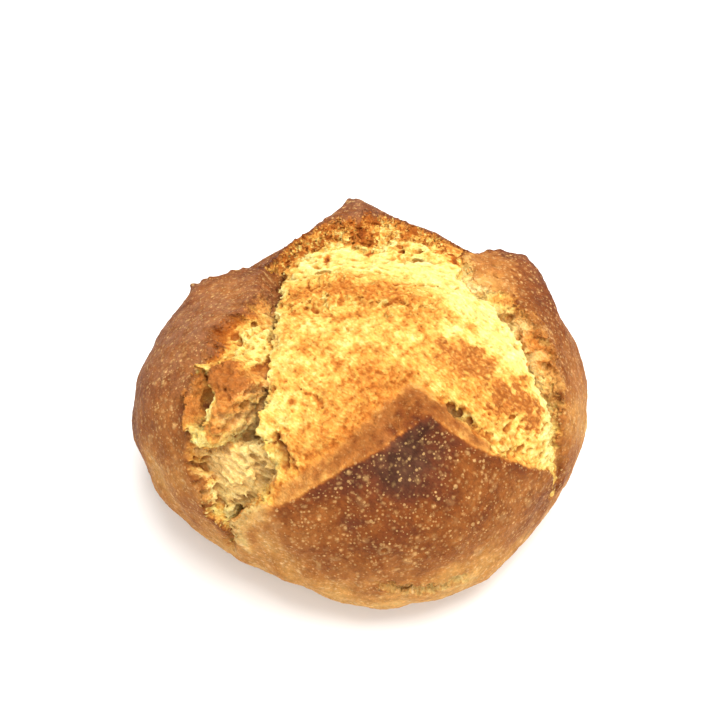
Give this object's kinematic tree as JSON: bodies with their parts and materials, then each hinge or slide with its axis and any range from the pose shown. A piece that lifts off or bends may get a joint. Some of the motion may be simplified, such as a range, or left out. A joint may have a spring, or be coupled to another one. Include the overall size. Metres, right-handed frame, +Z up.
{
  "type": "sourdough loaf",
  "caption": "Round cross-scored sourdough loaf with a speckled brown crust burst open along the cross into lifted flaps and torn pale crumb.",
  "frame": {"origin": "centre of the flat sole, under the middle of the loaf's outline", "axes": "+Z up, +X to the loaf's right and -Y towards its front, where the largest flap is"},
  "size_m": [0.242, 0.225, 0.1191],
  "materials": {
    "crust": "dry baked bread crust, matt to slightly satin, speckled with pale blisters; torn crumb on top"
  },
  "bodies": {
    "root": {"loaf": "crust"}
  },
  "joints": []
}
